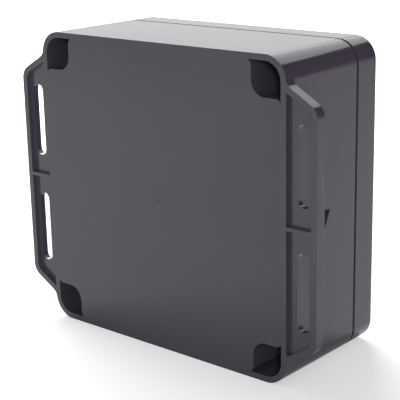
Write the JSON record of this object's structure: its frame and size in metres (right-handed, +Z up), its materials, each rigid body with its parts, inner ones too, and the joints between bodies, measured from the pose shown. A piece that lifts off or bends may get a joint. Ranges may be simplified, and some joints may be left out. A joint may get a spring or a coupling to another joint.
{
  "type": "project box with mounting flanges",
  "caption": "Square black plastic project box with a screw-down lid, a seal ring, hollow corner columns and slotted mounting flanges along two sides.",
  "frame": {"origin": "middle of the box's footprint, on the surface it stands on", "axes": "+Z up, +Y from the back face with the flanges to the front of the lid, +X to the right seen from the back"},
  "size_m": [0.1458, 0.0568, 0.12],
  "materials": {
    "base_plastic": "satin-gloss black moulded plastic",
    "lid_plastic": "satin-gloss black moulded plastic",
    "seal_rubber": "soft matt seal rubber",
    "screw_steel": "plain bright steel",
    "insert_brass": "turned and knurled brass"
  },
  "bodies": {
    "base": {"base": "base_plastic", "insert_upper_left": "insert_brass", "insert_upper_right": "insert_brass", "insert_lower_left": "insert_brass", "insert_lower_right": "insert_brass"},
    "lid": {"lid": "lid_plastic", "seal_ring": "seal_rubber", "lid_screw_upper_left": "screw_steel", "lid_screw_upper_right": "screw_steel", "lid_screw_lower_left": "screw_steel", "lid_screw_lower_right": "screw_steel"}
  },
  "joints": [
    {"name": "lid_lift", "type": "slide", "parent": "base", "child": "lid", "axis": [0, 1, 0], "range_m": [0, 0.06]}
  ]
}
